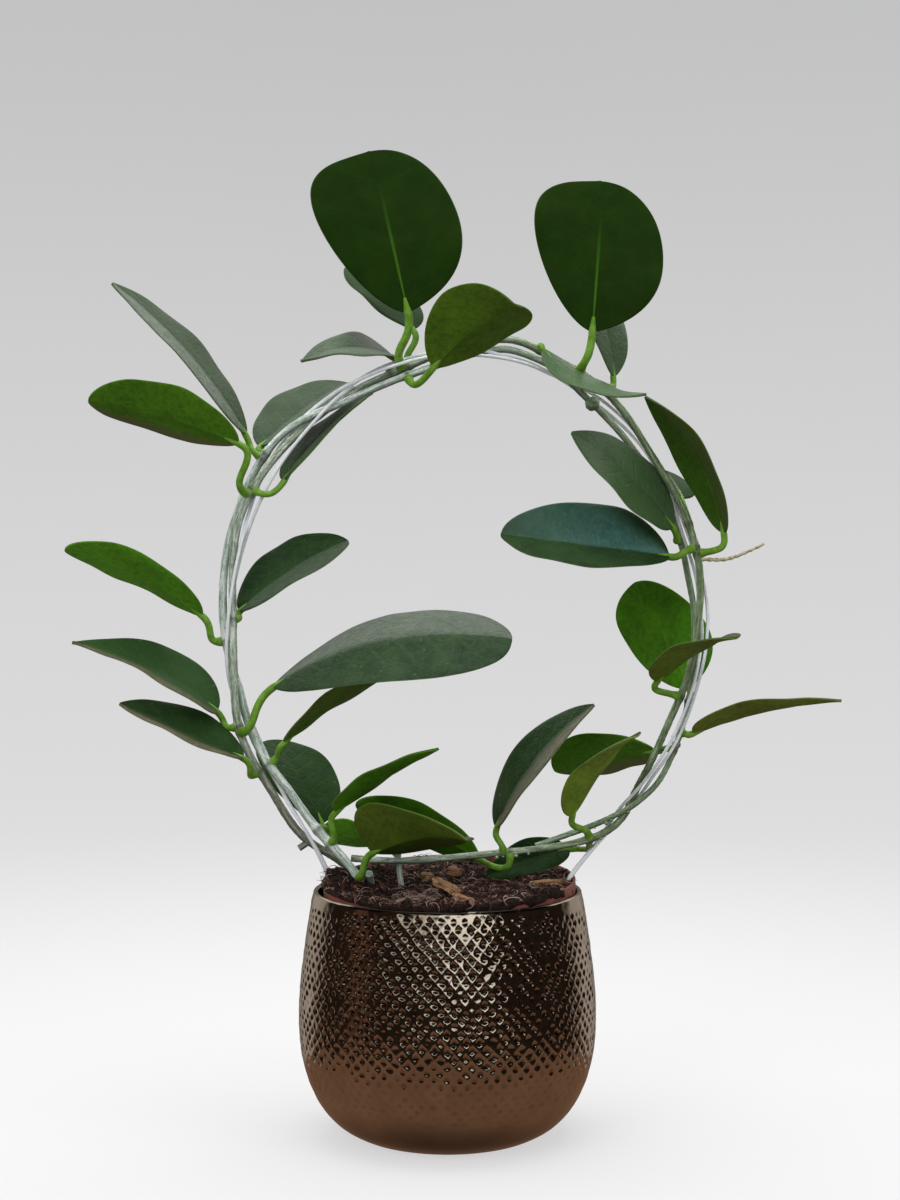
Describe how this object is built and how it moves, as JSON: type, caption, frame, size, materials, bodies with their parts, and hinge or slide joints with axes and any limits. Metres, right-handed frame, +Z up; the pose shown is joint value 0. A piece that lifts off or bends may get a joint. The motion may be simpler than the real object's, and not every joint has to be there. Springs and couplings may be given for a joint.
{
  "type": "potted hoya",
  "caption": "Hoya australis trained round a wire hoop, with thick oval leaves, rooted in a nursery pot inside a round bronze-glazed dimpled cover pot",
  "frame": {"origin": "middle of the cover pot's flat foot, where it rests on the ground", "axes": "+Z up, the hoop's plane is XZ, and +Y points away from the viewer through the hoop"},
  "size_m": [0.3606, 0.1407, 0.4604],
  "materials": {
    "glaze": "bronze metallic glaze, gloss, with pressed dimples",
    "nursery_plastic": "red-brown moulded plastic, satin",
    "potting_mix": "dark brown fibrous mix of peat, coir and fine bark, matte",
    "bark": "orange-brown bark chip, matte",
    "wire": "plain zinc-grey wire, satin",
    "green_stem": "grey-green living stem, semi-matte",
    "woody_stem": "grey-brown corky stem, matte",
    "leaf": "thick dark green leaf, glossy above and matte below",
    "dry_stalk": "dry tan stalk, matte"
  },
  "bodies": {
    "root": {"pot": "glaze", "nursery_pot": "nursery_plastic", "soil": "potting_mix", "wire_1": "wire", "wire_2": "wire", "stem_green": "green_stem", "stem_shoot": "green_stem", "stem_woody": "woody_stem", "dry_spur": "dry_stalk", "leaf_01": "leaf", "leaf_02": "leaf", "leaf_03": "leaf", "leaf_04": "leaf", "leaf_05": "leaf", "leaf_06": "leaf", "leaf_07": "leaf", "leaf_08": "leaf", "leaf_09": "leaf", "leaf_10": "leaf", "leaf_11": "leaf", "leaf_12": "leaf", "leaf_13": "leaf", "leaf_14": "leaf", "leaf_15": "leaf", "leaf_16": "leaf", "leaf_17": "leaf", "leaf_18": "leaf", "leaf_19": "leaf", "leaf_20": "leaf", "leaf_21": "leaf", "leaf_22": "leaf", "leaf_23": "leaf", "leaf_24": "leaf", "leaf_25": "leaf", "leaf_26": "leaf", "leaf_27": "leaf", "leaf_28": "leaf", "leaf_29": "leaf", "leaf_30": "leaf", "leaf_31": "leaf", "leaf_32": "leaf", "leaf_33": "leaf", "bark_1": "bark", "bark_2": "bark", "bark_3": "bark", "bark_4": "bark", "bark_5": "bark", "bark_6": "bark"}
  },
  "joints": []
}
